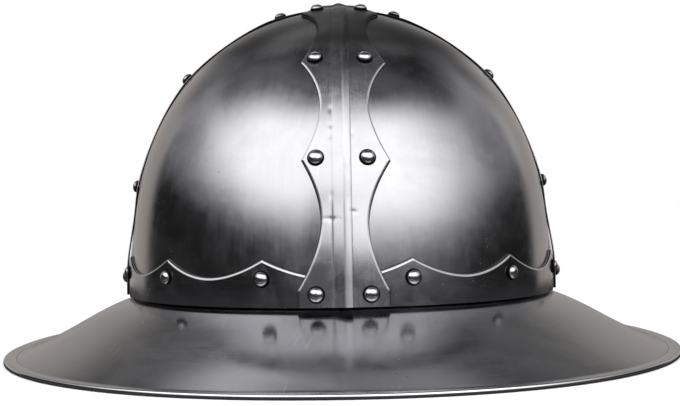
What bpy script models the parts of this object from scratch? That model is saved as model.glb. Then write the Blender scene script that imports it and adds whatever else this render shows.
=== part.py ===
# Kettle hat of riveted sheet steel: four skull plates under two crossed straps, a scalloped
# brow band, a sloping brim with a folded hem, and the rivets that hold them together.
# Metres, +Z up, the wearer's face towards -Y. The origin lies under the crown, on the plane
# that the brim's hem rests on.

import math

import bmesh
import bpy
from mathutils import Matrix, Vector

# Skull, measured on the outer face of its plates
SKULL_HALF_WIDTH = 0.1092
SKULL_HALF_DEPTH = 0.120
SKULL_RISE = 0.1471           # from the brow line up to the crown
SIDE_FULLNESS = 2.70          # exponent of the height: a larger one keeps the sides upright for longer
CROWN_FULLNESS = 1.87         # exponent of the radius: a smaller one makes the crown more pointed
BROW_HEIGHT = 0.0288          # the brow line above the ground
PLATE_THICKNESS = 0.0012
PLATE_SEAM = 0.0010           # gap between neighbouring plates, hidden by the straps
CROWN_OPENING = 0.0080        # radius left open where the four plate tips meet, hidden by the straps
PLATE_COLUMNS = 12
PLATE_ROWS = 10

# Clearances
LAYER_GAP = 0.0005            # between sheets that lie on each other
HEAD_GAP = 0.0003             # under a rivet head
SHANK_GAP = 0.0004            # round a rivet's shank

# Brow band
BAND_THICKNESS = 0.0012
BAND_VALLEY_HEIGHT = 0.0120   # above the brow line, midway between two points
BAND_POINT_HEIGHT = 0.0200    # above the brow line, at a point
BAND_DROP = 0.0008            # of the band's lower edge below the brow line
BAND_POINTS = (16.9, 44.8, 74.5)   # degrees from the front or back centre to each point
BAND_TURN = -0.9              # degrees that the whole band sits round from the front centre, towards +X
BAND_SCALLOP = 1.9            # exponent of the curve between two points
BAND_RIVET_HEIGHT = 0.0120
BAND_SCALLOP_STEPS = 5

# Straps
STRAP_THICKNESS = 0.0012
STRAP_POINT_HALF_WIDTH = 0.0191
FRONT_STRAP_SHIFT = 0.0009    # the front-to-back strap's centre line lies this far towards +X
STRAP_SCALLOP = 1.8           # exponent of the curve between two points
STRAP_RIVET_OFFSET = 0.0112   # of a pair's rivets from the strap's centre line
RIDGE_FOOT_HALF_WIDTH = 0.0042
RIDGE_TOP_HALF_WIDTH = 0.0014
RIDGE_HEIGHT = 0.0022
FOOT_STEP_LENGTH = 0.0300     # over which a strap rises from the plates onto the band
CROSSING_STEP_LENGTH = 0.0100 # over which the upper strap rises onto the lower one
STEP_MARGIN = 0.0020          # from the edge of the sheet below to the start of a step
FRONT_FOOT_HEIGHT = 0.0085    # straight-sided foot, above the brow line
SIDE_FOOT_HEIGHT = 0.0120
FRONT_FOOT_RIVET_HEIGHT = 0.0055
SIDE_FOOT_RIVET_HEIGHT = 0.0092
LOWER_RIVET_LEAD = 0.0010     # of a pair's rivets above its point
UPPER_RIVET_LEAD = 0.0030
CROWN_RIVET_LEAD = 0.0064
LOWER_WAIST_HALF_WIDTH = 0.0105   # below the point of that name
UPPER_WAIST_HALF_WIDTH = 0.0102
CROWN_WAIST_HALF_WIDTH = 0.0112

# Each strap has these points on the way from its foot to the crown.
# name, place on the front strap, place on the side strap (shares of the way from brow to crown),
# how far the rivets sit above the point, half width of the waist below the point
STRAP_POINTS = (
    ("lower", 0.296, 0.272, LOWER_RIVET_LEAD, LOWER_WAIST_HALF_WIDTH),
    ("upper", 0.539, 0.567, UPPER_RIVET_LEAD, UPPER_WAIST_HALF_WIDTH),
    ("crown", 0.811, 0.827, CROWN_RIVET_LEAD, CROWN_WAIST_HALF_WIDTH),
)
FOOT_HEIGHTS = {"front": FRONT_FOOT_HEIGHT, "side": SIDE_FOOT_HEIGHT}
FOOT_RIVET_HEIGHTS = {"front": FRONT_FOOT_RIVET_HEIGHT, "side": SIDE_FOOT_RIVET_HEIGHT}
CROSSING_HALF_WIDTH = 0.0108  # half width of both straps where they cross on the crown
STRAP_STEPS = 5               # grid steps between two points
FOOT_STEP_STEPS = 3           # grid steps over the rise onto the band

# Brim
BRIM_THICKNESS = 0.0012
RIM_HALF_WIDTH = 0.1705
RIM_HALF_DEPTH = 0.1815
RIM_SQUARENESS = 2.12         # exponent of the rim's plan: 2 is an ellipse, a larger one fills its corners
COLLAR_HEIGHT = 0.0180        # upright flange inside the skull plates
HEM_WIDTH = 0.0063
HEM_GROOVE = 0.0003           # depth of the line where the folded hem lies on the brim

# Rivets
HEAD_RADIUS = 0.0037
HEAD_HEIGHT = 0.0028
SHANK_RADIUS = 0.0016
SHANK_TAIL = 0.0008           # stands out of the innermost sheet
RIVET_SIDES = 6

QUARTERS = {"front_left": (-1, -1), "front_right": (1, -1), "rear_left": (-1, 1), "rear_right": (1, 1)}


# The skull's form

def skull_field(point):
    """Zero on the skull's outer face, negative inside, positive outside."""
    plan = (point.x / SKULL_HALF_WIDTH) ** 2 + (point.y / SKULL_HALF_DEPTH) ** 2
    rise = max(point.z - BROW_HEIGHT, 0.0) / SKULL_RISE
    return plan ** (CROWN_FULLNESS / 2) + rise ** SIDE_FULLNESS - 1.0


def skull_normal(point):
    """The field's gradient, made one long: it points straight out of the skull."""
    plan = max((point.x / SKULL_HALF_WIDTH) ** 2 + (point.y / SKULL_HALF_DEPTH) ** 2, 1e-9)
    rise = max(point.z - BROW_HEIGHT, 0.0) / SKULL_RISE
    steepness = CROWN_FULLNESS * plan ** (CROWN_FULLNESS / 2 - 1)
    return Vector((
        steepness * point.x / SKULL_HALF_WIDTH ** 2,
        steepness * point.y / SKULL_HALF_DEPTH ** 2,
        SIDE_FULLNESS * rise ** (SIDE_FULLNESS - 1) / SKULL_RISE,
    )).normalized()


def skull_hit(start, direction):
    """Where a ray from inside the skull meets its outer face, by halving the distance."""
    near, far = 0.0, 2 * max(SKULL_HALF_WIDTH, SKULL_HALF_DEPTH, SKULL_RISE)
    for _ in range(40):
        middle = (near + far) / 2
        if skull_field(start + direction * middle) < 0:
            near = middle
        else:
            far = middle
    return start + direction * near


def raised(point, offset):
    """A point of the skull's outer face moved straight out of it by an offset."""
    return point + skull_normal(point) * offset


def meridian(half_axis):
    """Samples (length from the brow, radius, height above the brow) from brow to crown."""
    samples = []
    length, before = 0.0, None
    for step in range(801):
        turn = math.pi / 2 * step / 800
        height = SKULL_RISE * math.sin(turn) ** (2 / SIDE_FULLNESS)
        radius = half_axis * max(math.cos(turn), 0.0) ** (2 / CROWN_FULLNESS)
        if before:
            length += math.hypot(radius - before[0], height - before[1])
        samples.append((length, radius, height))
        before = (radius, height)
    return samples


MERIDIANS = {"front": meridian(SKULL_HALF_DEPTH), "side": meridian(SKULL_HALF_WIDTH)}
MERIDIAN_LENGTH = {way: samples[-1][0] for way, samples in MERIDIANS.items()}


def on_meridian(way, length):
    """Radius and height above the brow at a length along the front or side meridian."""
    samples = MERIDIANS[way]
    for low, high in zip(samples, samples[1:]):
        if high[0] >= length:
            share = (length - low[0]) / (high[0] - low[0])
            return low[1] + (high[1] - low[1]) * share, low[2] + (high[2] - low[2]) * share
    return samples[-1][1], samples[-1][2]


# Mesh helpers

def new_material(name, colour, roughness):
    material = bpy.data.materials.new(name)
    material.use_nodes = True
    shader = material.node_tree.nodes["Principled BSDF"]
    shader.inputs["Base Color"].default_value = (*colour, 1.0)
    shader.inputs["Metallic"].default_value = 1.0
    shader.inputs["Roughness"].default_value = roughness
    return material


def new_object(name, bm, collection, material=None):
    """An object from a bmesh, shaded smooth up to the angle of a folded edge."""
    mesh = bpy.data.meshes.new(name)
    bm.to_mesh(mesh)
    bm.free()
    mesh.shade_smooth()
    mesh.set_sharp_from_angle(angle=math.radians(32))
    obj = bpy.data.objects.new(name, mesh)
    collection.objects.link(obj)
    if material:
        mesh.materials.append(material)
    return obj


def bent_grid(columns, rows, place, closed=False):
    """A flat grid whose corner (i, j) is moved to place(i, j); closed joins its first and last column."""
    bm = bmesh.new()
    bmesh.ops.create_grid(bm, x_segments=columns, y_segments=rows, size=0.5)
    for vertex in bm.verts:
        i = round((vertex.co.x + 0.5) * columns)
        j = round((vertex.co.y + 0.5) * rows)
        vertex.co = place(i, j)
    if closed:
        bmesh.ops.remove_doubles(bm, verts=bm.verts, dist=1e-6)
    return bm


def sheet(name, bm, thickness, side, collection, material):
    """Sheet metal: an open surface thickened to one side of it."""
    obj = new_object(name, bm, collection, material)
    solidify = obj.modifiers.new("thickness", "SOLIDIFY")
    solidify.thickness = thickness
    solidify.offset = side
    solidify.use_even_offset = True
    solidify.use_quality_normals = True
    return obj


def drill(obj, cutter):
    holes = obj.modifiers.new("rivet holes", "BOOLEAN")
    holes.operation = "DIFFERENCE"
    holes.solver = "EXACT"
    holes.object = cutter


# Skull plates

def skull_plate(quarter, collection, material):
    """A quarter of the skull, from seam to seam and from the brow to the crown opening."""
    side, back = QUARTERS[quarter]
    length = next(s for s, radius, _ in MERIDIANS["front"] if radius <= CROWN_OPENING)
    rows = [on_meridian("front", length * row / PLATE_ROWS) for row in range(PLATE_ROWS + 1)]

    def place(i, j):
        radius, height = rows[j]
        share = radius / SKULL_HALF_DEPTH
        first = math.asin(PLATE_SEAM / 2 / (SKULL_HALF_WIDTH * share))
        last = math.pi / 2 - math.asin(PLATE_SEAM / 2 / (SKULL_HALF_DEPTH * share))
        column = i if side * back < 0 else PLATE_COLUMNS - i
        turn = min(max(math.pi / 2 * column / PLATE_COLUMNS, first), last)
        return Vector((
            side * SKULL_HALF_WIDTH * share * math.sin(turn),
            back * SKULL_HALF_DEPTH * share * math.cos(turn),
            BROW_HEIGHT + height,
        ))

    bm = bent_grid(PLATE_COLUMNS, PLATE_ROWS, place)
    return sheet("skull_plate_" + quarter, bm, PLATE_THICKNESS, -1, collection, material)


# Brow band

def band_point_angles():
    """The band's points all the way round, in degrees from the front centre towards +X."""
    quarter = list(BAND_POINTS)
    half = quarter + [180 - angle for angle in reversed(quarter)]
    return [angle + BAND_TURN for angle in half + [360 - angle for angle in reversed(half)]]


def band_height(turn):
    """Height of the band's upper edge above the brow: highest at a point, in a curve between two."""
    angles = band_point_angles()
    turn = turn % 360
    before = max([angle for angle in angles if angle <= turn], default=angles[-1] - 360)
    after = min([angle for angle in angles if angle > turn], default=angles[0] + 360)
    share = abs(2 * (turn - before) / (after - before) - 1)
    return BAND_VALLEY_HEIGHT + (BAND_POINT_HEIGHT - BAND_VALLEY_HEIGHT) * share ** BAND_SCALLOP


def skull_at(turn, height):
    """A point of the skull's outer face by its angle round the skull and its height above the brow."""
    start = Vector((0, 0, BROW_HEIGHT + height))
    angle = math.radians(turn)
    toward = Vector((SKULL_HALF_WIDTH * math.sin(angle), -SKULL_HALF_DEPTH * math.cos(angle), 0))
    return skull_hit(start, toward.normalized())


def brow_band(collection, material):
    angles = band_point_angles()
    turns = []
    for before, after in zip(angles, angles[1:] + [angles[0] + 360]):
        turns += [before + (after - before) * step / BAND_SCALLOP_STEPS for step in range(BAND_SCALLOP_STEPS)]
    turns.append(turns[0] + 360)

    def place(i, j):
        share = j / 2
        height = band_height(turns[i]) * share - BAND_DROP * (1 - share)
        return raised(skull_at(turns[i], height), LAYER_GAP)

    bm = bent_grid(len(turns) - 1, 2, place, closed=True)
    return sheet("brow_band", bm, BAND_THICKNESS, 1, collection, material)


# Straps

def strap_keys(way):
    """Lengths from the brow where a strap changes: foot, step, points, and its half at the crown."""
    whole = MERIDIAN_LENGTH[way]
    edge_turn = math.degrees(STRAP_POINT_HALF_WIDTH / SKULL_HALF_WIDTH)
    step_start = band_height(edge_turn) + STEP_MARGIN / 2
    column = 1 if way == "front" else 2
    points = [whole * row[column] for row in STRAP_POINTS]
    return {
        "foot": FOOT_HEIGHTS[way],
        "step": (step_start, step_start + FOOT_STEP_LENGTH),
        "points": points,
        "whole": whole,
        "crossing": (whole - CROSSING_HALF_WIDTH - STEP_MARGIN - CROSSING_STEP_LENGTH,
                     whole - CROSSING_HALF_WIDTH - STEP_MARGIN),
    }


def ramp(value, start, end):
    """0 up to start, 1 from end on, straight between them."""
    return min(max((value - start) / (end - start), 0.0), 1.0)


def strap_half_width(way, length):
    """Widest at the foot and the points, drawn in along a curve between two of them."""
    keys = strap_keys(way)
    if length <= keys["foot"]:
        return STRAP_POINT_HALF_WIDTH
    stops = [keys["foot"]] + keys["points"] + [2 * keys["whole"] - keys["points"][-1]]
    waists = [row[4] for row in STRAP_POINTS] + [CROSSING_HALF_WIDTH]
    for before, after, waist in zip(stops, stops[1:], waists):
        if length <= after:
            share = abs(2 * (length - before) / (after - before) - 1)
            return waist + (STRAP_POINT_HALF_WIDTH - waist) * share ** STRAP_SCALLOP
    return CROSSING_HALF_WIDTH


def strap_offset(way, length):
    """The strap's inner face above the skull: raised over the band, and over the other strap if on top."""
    keys = strap_keys(way)
    offset = LAYER_GAP + (BAND_THICKNESS + LAYER_GAP) * (1 - ramp(length, *keys["step"]))
    if way == "front":
        offset += (STRAP_THICKNESS + LAYER_GAP) * ramp(length, *keys["crossing"])
    return offset


def ridge_height(way, length):
    """The pressed ridge runs the strap's whole length, but dies out where the other strap lies on it."""
    if way == "front":
        return RIDGE_HEIGHT
    return RIDGE_HEIGHT * (1 - ramp(length, *strap_keys(way)["crossing"]))


def strap_skull_point(way, end, length, lateral):
    """A point of the skull's outer face under a strap: end is -1 on the front or left arm, 1 on the other."""
    radius, height = on_meridian(way, length)
    if way == "front":
        start = Vector((lateral + FRONT_STRAP_SHIFT, 0, BROW_HEIGHT))
        direction = Vector((0, end * radius, height))
    else:
        start = Vector((0, lateral, BROW_HEIGHT))
        direction = Vector((end * radius, 0, height))
    return skull_hit(start, direction.normalized())


def strap_lengths(way):
    """Grid lines along half a strap, from the brow to the crown."""
    keys = strap_keys(way)
    points = keys["points"]
    lengths = [0.0, keys["foot"], keys["step"][0]]
    for before, after, steps in (
        (keys["step"][0], keys["step"][1], FOOT_STEP_STEPS),
        (keys["step"][1], points[0], STRAP_STEPS - FOOT_STEP_STEPS),
        (points[0], points[1], STRAP_STEPS),
        (points[1], points[2], STRAP_STEPS),
        (points[2], keys["crossing"][0], 2),
    ):
        lengths += [before + (after - before) * (step + 1) / steps for step in range(steps)]
    return lengths + [keys["crossing"][1], keys["whole"]]


def strap(name, way, collection, material):
    """A strap from brow to brow over the crown, with a ridge pressed along its middle."""
    half = strap_lengths(way)
    stations = [(-1, length) for length in half] + [(1, length) for length in reversed(half[:-1])]

    def place(i, j):
        end, length = stations[j]
        edge = strap_half_width(way, length)
        laterals = (-edge, -RIDGE_FOOT_HALF_WIDTH, -RIDGE_TOP_HALF_WIDTH,
                    RIDGE_TOP_HALF_WIDTH, RIDGE_FOOT_HALF_WIDTH, edge)
        lateral = laterals[i if way == "front" else 5 - i]
        offset = strap_offset(way, length)
        if i in (2, 3):
            offset += ridge_height(way, length)
        return raised(strap_skull_point(way, end, length, lateral), offset)

    bm = bent_grid(5, len(stations) - 1, place)
    return sheet(name, bm, STRAP_THICKNESS, 1, collection, material)


# Brim

def brim_section():
    """The section as (way from skull to rim, distance further out, height), from the collar round the hem."""
    collar = -PLATE_THICKNESS - LAYER_GAP
    collar_top = BROW_HEIGHT + COLLAR_HEIGHT
    lean = SKULL_HALF_DEPTH * (1 - (1 - (COLLAR_HEIGHT / SKULL_RISE) ** SIDE_FULLNESS) ** (1 / CROWN_FULLNESS))
    brow_top = BROW_HEIGHT - LAYER_GAP
    hem_top = 2 * BRIM_THICKNESS
    groove = hem_top - HEM_GROOVE
    slope = (brow_top - groove) / (RIM_HALF_WIDTH - HEM_WIDTH - SKULL_HALF_WIDTH)
    under = BRIM_THICKNESS * math.hypot(1.0, slope)
    nose = [(1, -BRIM_THICKNESS * (1 - math.sin(math.radians(turn))),
             BRIM_THICKNESS * (1 + math.cos(math.radians(turn)))) for turn in (0, 60, 120, 180)]
    inner = collar - BRIM_THICKNESS
    return [
        (0, collar - lean, collar_top),
        (0, collar, brow_top),
        (0.5, (collar - HEM_WIDTH) / 2, (brow_top + groove) / 2),
        (1, -HEM_WIDTH, groove),
        (1, -HEM_WIDTH + 3 * HEM_GROOVE, hem_top),
        *nose,
        (1, -HEM_WIDTH + BRIM_THICKNESS, 0.0),
        (1, -HEM_WIDTH - BRIM_THICKNESS / 2, groove + slope * BRIM_THICKNESS / 2 - under),
        (0, inner, brow_top - under),
        (0, inner - lean, collar_top),
    ]


def brim(collection, material):
    """The section carried round the hat, between the skull's plan and the rim's."""
    section = brim_section()
    around = 4 * PLATE_COLUMNS

    def place(i, j):
        way, distance, height = section[j % len(section)]
        turn = 2 * math.pi * i / around
        across, ahead = math.sin(turn), -math.cos(turn)
        rim_x = math.copysign(abs(across) ** (2 / RIM_SQUARENESS), across) * RIM_HALF_WIDTH
        rim_y = math.copysign(abs(ahead) ** (2 / RIM_SQUARENESS), ahead) * RIM_HALF_DEPTH
        return Vector((
            (SKULL_HALF_WIDTH * (1 - way) + distance) * across + rim_x * way,
            (SKULL_HALF_DEPTH * (1 - way) + distance) * ahead + rim_y * way,
            height,
        ))

    bm = bent_grid(around, len(section), place, closed=True)
    bmesh.ops.recalc_face_normals(bm, faces=bm.faces)
    return new_object("brim", bm, collection, material)


# Rivets

def rivet_places():
    """Each rivet's name, its point on the skull's outer face, what it clamps above it and below it."""
    plate_only = PLATE_THICKNESS
    with_collar = PLATE_THICKNESS + LAYER_GAP + BRIM_THICKNESS
    places = []
    for way, ends in (("front", {"front": -1, "rear": 1}), ("side", {"left": -1, "right": 1})):
        keys = strap_keys(way)
        levels = [("foot", FOOT_RIVET_HEIGHTS[way], with_collar)]
        for row, point in zip(STRAP_POINTS, keys["points"]):
            levels.append((row[0], point + row[3], plate_only))
        across = ("left", "right") if way == "front" else ("front", "rear")
        for end_name, end in ends.items():
            for level, length, below in levels:
                above = strap_offset(way, length) + STRAP_THICKNESS
                for name, side in zip(across, (-1, 1)):
                    point = strap_skull_point(way, end, length, side * STRAP_RIVET_OFFSET)
                    places.append((f"rivet_{end_name}_{level}_{name}", point, above, below))
    for number, turn in enumerate(band_point_angles(), 1):
        point = skull_at(turn, BAND_RIVET_HEIGHT)
        places.append((f"rivet_band_{number:02d}", point, LAYER_GAP + BAND_THICKNESS, with_collar))
    return places


def rivet_frame(point, offset):
    """A frame on the skull with +Z straight out of it, its origin raised by an offset."""
    out = skull_normal(point)
    level = Vector((0, 0, 1)).cross(out).normalized()
    up = out.cross(level)
    frame = Matrix((level, up, out)).transposed().to_4x4()
    frame.translation = point + out * offset
    return frame


def rivet(name, point, above, below, collection, material):
    """A domed head turned in one piece with its shank, a profile with a Screw modifier."""
    bm = bmesh.new()
    profile = [
        (0.0, HEAD_HEIGHT),
        (HEAD_RADIUS * 0.72, HEAD_HEIGHT * 0.70),
        (HEAD_RADIUS, 0.0),
        (SHANK_RADIUS, 0.0),
        (SHANK_RADIUS, -(above + below + HEAD_GAP + SHANK_TAIL)),
        (0.0, -(above + below + HEAD_GAP + SHANK_TAIL)),
    ]
    verts = [bm.verts.new((radius, 0.0, height)) for radius, height in profile]
    for first, second in zip(verts, verts[1:]):
        bm.edges.new((first, second))
    obj = new_object(name, bm, collection, material)
    screw = obj.modifiers.new("turn", "SCREW")
    screw.steps = screw.render_steps = RIVET_SIDES
    screw.use_merge_vertices = True
    screw.merge_threshold = 1e-5
    screw.use_smooth_shade = True
    obj.matrix_world = rivet_frame(point, above + HEAD_GAP)
    return obj


def rivet_holes(places, collection):
    """One prism through every sheet at each rivet, wider than the shank by its clearance all round."""
    bm = bmesh.new()
    for _, point, above, below in places:
        bmesh.ops.create_cone(
            bm, cap_ends=True, segments=RIVET_SIDES, radius1=SHANK_RADIUS + SHANK_GAP,
            radius2=SHANK_RADIUS + SHANK_GAP, depth=2 * (above + below), matrix=rivet_frame(point, 0.0))
    cutter = new_object("rivet_holes", bm, collection)
    cutter.hide_render = True
    cutter.display_type = "WIRE"
    return cutter


def main():
    for obj in list(bpy.data.objects):
        bpy.data.objects.remove(obj, do_unlink=True)
    hat = bpy.data.collections.new("kettle_hat")
    cutters = bpy.data.collections.new("cutters")
    bpy.context.scene.collection.children.link(hat)
    bpy.context.scene.collection.children.link(cutters)

    plate_steel = new_material("plate_steel", (0.36, 0.36, 0.38), 0.28)
    strap_steel = new_material("strap_steel", (0.42, 0.42, 0.44), 0.25)
    brim_steel = new_material("brim_steel", (0.33, 0.33, 0.34), 0.32)
    rivet_steel = new_material("rivet_steel", (0.60, 0.60, 0.62), 0.18)

    pieces = [skull_plate(quarter, hat, plate_steel) for quarter in QUARTERS]
    pieces.append(brow_band(hat, strap_steel))
    pieces.append(strap("strap_side_to_side", "side", hat, strap_steel))
    pieces.append(strap("strap_front_to_back", "front", hat, strap_steel))
    pieces.append(brim(hat, brim_steel))

    places = rivet_places()
    cutter = rivet_holes(places, cutters)
    for piece in pieces:
        drill(piece, cutter)
    for name, point, above, below in places:
        rivet(name, point, above, below, hat, rivet_steel)


main()
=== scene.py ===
# Riveted kettle hat: smooth sheets, domed rivets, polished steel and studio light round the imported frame.
# Metres, +Z up, the face side towards -Y. Each piece takes its place from the same sizes as the CAD part.

import math

import bpy
import numpy as np
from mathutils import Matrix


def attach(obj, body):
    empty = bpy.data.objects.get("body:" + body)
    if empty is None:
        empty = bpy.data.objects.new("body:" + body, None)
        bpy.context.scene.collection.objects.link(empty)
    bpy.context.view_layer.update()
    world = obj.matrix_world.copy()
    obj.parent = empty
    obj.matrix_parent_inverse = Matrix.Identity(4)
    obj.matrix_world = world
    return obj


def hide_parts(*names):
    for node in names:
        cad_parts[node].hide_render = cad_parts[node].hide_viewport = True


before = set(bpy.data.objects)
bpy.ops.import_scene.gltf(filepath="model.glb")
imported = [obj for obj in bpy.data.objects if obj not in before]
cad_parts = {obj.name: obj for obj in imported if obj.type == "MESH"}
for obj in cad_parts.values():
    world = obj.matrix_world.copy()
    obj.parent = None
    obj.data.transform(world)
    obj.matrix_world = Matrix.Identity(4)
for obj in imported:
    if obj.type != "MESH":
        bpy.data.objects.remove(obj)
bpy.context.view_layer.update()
print("frame loaded:", len(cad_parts), "nodes")

skull = {
    "halfWidth": 0.1092,        # to the outer face of the plates
    "halfDepth": 0.120,
    "rise": 0.1471,             # from the brow line to the crown
    "brow": 0.0288,             # the brow line above the ground
    "sideFullness": 2.70,       # exponent of the height
    "crownFullness": 1.87,      # exponent of the radius
    "sheetGap": 0.0005,         # between sheets that lie on each other
    "waveHeight": 0.00010,      # unevenness left by hand planishing
    "waveLengths": (0.045, 0.11),
    "waveCount": 9,
    "waveSeed": 41,
}
skullHalves = np.array([skull["halfWidth"], skull["halfDepth"]])


# Steps over numpy grids

# vectors made one long
def unit(vectors):
    return vectors / np.linalg.norm(vectors, axis=-1, keepdims=True)


# 0 up to start, 1 from end on, and an S curve between them
def smoothRamp(value, start, end):
    share = np.clip((value - start) / (end - start), 0, 1)
    return share * share * (3 - 2 * share)


# places from start to end without the first one, closer together near both ends: 0.55 of an even step
# and 0.45 of a cosine one
def crowdedSteps(start, end, count):
    turn = np.linspace(0, np.pi, count + 1)[1:]
    even = (np.arange(count) + 1) / count
    return start + (end - start) * (0.55 * even + 0.45 * (1 - np.cos(turn)) / 2)


# Form of the skull

# plan^crownFullness + rise^sideFullness - 1, which is zero on the outer face of the plates
def skullField(points):
    plan = np.sum((points[..., :2] / skullHalves) ** 2, axis=-1)
    rise = np.clip(points[..., 2] - skull["brow"], 0, None) / skull["rise"]
    return plan ** (skull["crownFullness"] / 2) + rise ** skull["sideFullness"] - 1


# the gradient of that field, made one long, so it points straight out of the skull
def skullNormal(points):
    plan = np.maximum(np.sum((points[..., :2] / skullHalves) ** 2, axis=-1), 1e-9)
    rise = np.clip(points[..., 2] - skull["brow"], 0, None) / skull["rise"]
    steepness = skull["crownFullness"] * plan ** (skull["crownFullness"] / 2 - 1)
    upward = skull["sideFullness"] * rise ** (skull["sideFullness"] - 1) / skull["rise"]
    gradient = np.stack([
        steepness * points[..., 0] / skull["halfWidth"] ** 2,
        steepness * points[..., 1] / skull["halfDepth"] ** 2,
        upward,
    ], axis=-1)
    return unit(gradient)


# where rays from inside meet the outer face, by halving the span that holds the change of sign
def skullHit(start, direction):
    direction = unit(direction)
    near = np.zeros(direction.shape[:-1] + (1,))
    far = near + 2 * (skull["halfDepth"] + skull["rise"])
    for halving in range(44):
        middle = (near + far) / 2
        inside = (skullField(start + direction * middle) < 0)[..., None]
        near = np.where(inside, middle, near)
        far = np.where(inside, far, middle)
    return start + direction * near


# a sum of slow sine waves over the skull, each with its own direction, length and phase
def planishing(points):
    draw = np.random.default_rng(skull["waveSeed"])
    total = np.zeros(points.shape[:-1])
    for wave in range(skull["waveCount"]):
        heading = unit(draw.normal(size=3)) * 2 * np.pi / draw.uniform(*skull["waveLengths"])
        total += np.sin(points @ heading + draw.uniform(0, 2 * np.pi))
    return total * skull["waveHeight"] / math.sqrt(skull["waveCount"])


# points of the outer face moved out along its normal by an offset and the planishing
def raised(points, offset):
    return points + skullNormal(points) * (offset + planishing(points))[..., None]


# samples (length from the brow, radius, height) of the curve from brow to crown:
# height = rise sin^(2/sideFullness), radius = half axis cos^(2/crownFullness)
def meridian(halfAxis):
    turn = np.linspace(0, np.pi / 2, 4001)
    height = skull["rise"] * np.sin(turn) ** (2 / skull["sideFullness"])
    radius = halfAxis * np.clip(np.cos(turn), 0, None) ** (2 / skull["crownFullness"])
    steps = np.hypot(np.diff(radius), np.diff(height))
    return np.concatenate([[0], np.cumsum(steps)]), radius, height


meridians = {"front": meridian(skull["halfDepth"]), "side": meridian(skull["halfWidth"])}


# radius and height above the brow at lengths along the front or side meridian
def onMeridian(way, length):
    lengths, radius, height = meridians[way]
    return np.interp(length, lengths, radius), np.interp(length, lengths, height)


# the skull at an angle round it (degrees from the front, towards +X) and a height above the brow
def skullAt(turn, height):
    turn, height = np.broadcast_arrays(np.radians(turn), height)
    start = np.stack([0 * height, 0 * height, skull["brow"] + height], axis=-1)
    toward = np.stack([
        skull["halfWidth"] * np.sin(turn), -skull["halfDepth"] * np.cos(turn), 0 * height], axis=-1)
    return skullHit(start, toward)


# Meshes from grids

# the numbers of a grid's points, row after row
def gridIndex(rows, columns):
    return np.arange(rows * columns).reshape(rows, columns)


# quads between the rows and columns of an array of vertex numbers
def gridQuads(index):
    return np.stack(
        [index[:-1, :-1], index[:-1, 1:], index[1:, 1:], index[1:, :-1]], axis=-1).reshape(-1, 4)


# the map's places at the corners of a grid's quads
def gridUv(uv):
    return uv.reshape(-1, 2)[gridQuads(gridIndex(*uv.shape[:2]))]


# an object from vertices and quads (a quad with two neighbouring corners the same becomes a triangle),
# turned so that its signed volume, the sum of each face's centre times its area vector, is positive
def newPiece(name, points, quads, corners, layers, material, sharpDegrees=34):
    faces = points[quads]
    across = np.cross(faces[:, 2] - faces[:, 0], faces[:, 3] - faces[:, 1])
    if np.sum(faces.mean(axis=1) * across) < 0:
        quads, corners = quads[:, ::-1], corners[:, ::-1]
    isTriangle = (quads[:, 0] == quads[:, 1]) | (quads[:, 2] == quads[:, 3])
    keep = np.ones(quads.shape, bool)
    keep[:, 1] = quads[:, 0] != quads[:, 1]
    keep[:, 3] = quads[:, 2] != quads[:, 3]
    sizes = np.where(isTriangle, 3, 4)
    starts = np.concatenate([[0], np.cumsum(sizes)[:-1]])
    mesh = bpy.data.meshes.new(name)
    mesh.vertices.add(len(points))
    mesh.vertices.foreach_set("co", np.ascontiguousarray(points, np.float32).ravel())
    mesh.loops.add(int(keep.sum()))
    mesh.loops.foreach_set("vertex_index", quads[keep].astype(np.int32))
    mesh.polygons.add(len(quads))
    mesh.polygons.foreach_set("loop_start", starts.astype(np.int32))
    mesh.update(calc_edges=True)
    wrap = mesh.uv_layers.new(name="wrap")
    wrap.data.foreach_set("uv", np.ascontiguousarray(corners[keep], np.float32).ravel())
    for layer, values in layers.items():
        attribute = mesh.attributes.new(layer, "FLOAT", "POINT")
        attribute.data.foreach_set("value", np.ascontiguousarray(values, np.float32))
    mesh.shade_smooth()
    mesh.set_sharp_from_angle(angle=math.radians(sharpDegrees))
    mesh.materials.append(material)
    piece = bpy.data.objects.new(name, mesh)
    bpy.context.scene.collection.objects.link(piece)
    return piece


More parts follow.
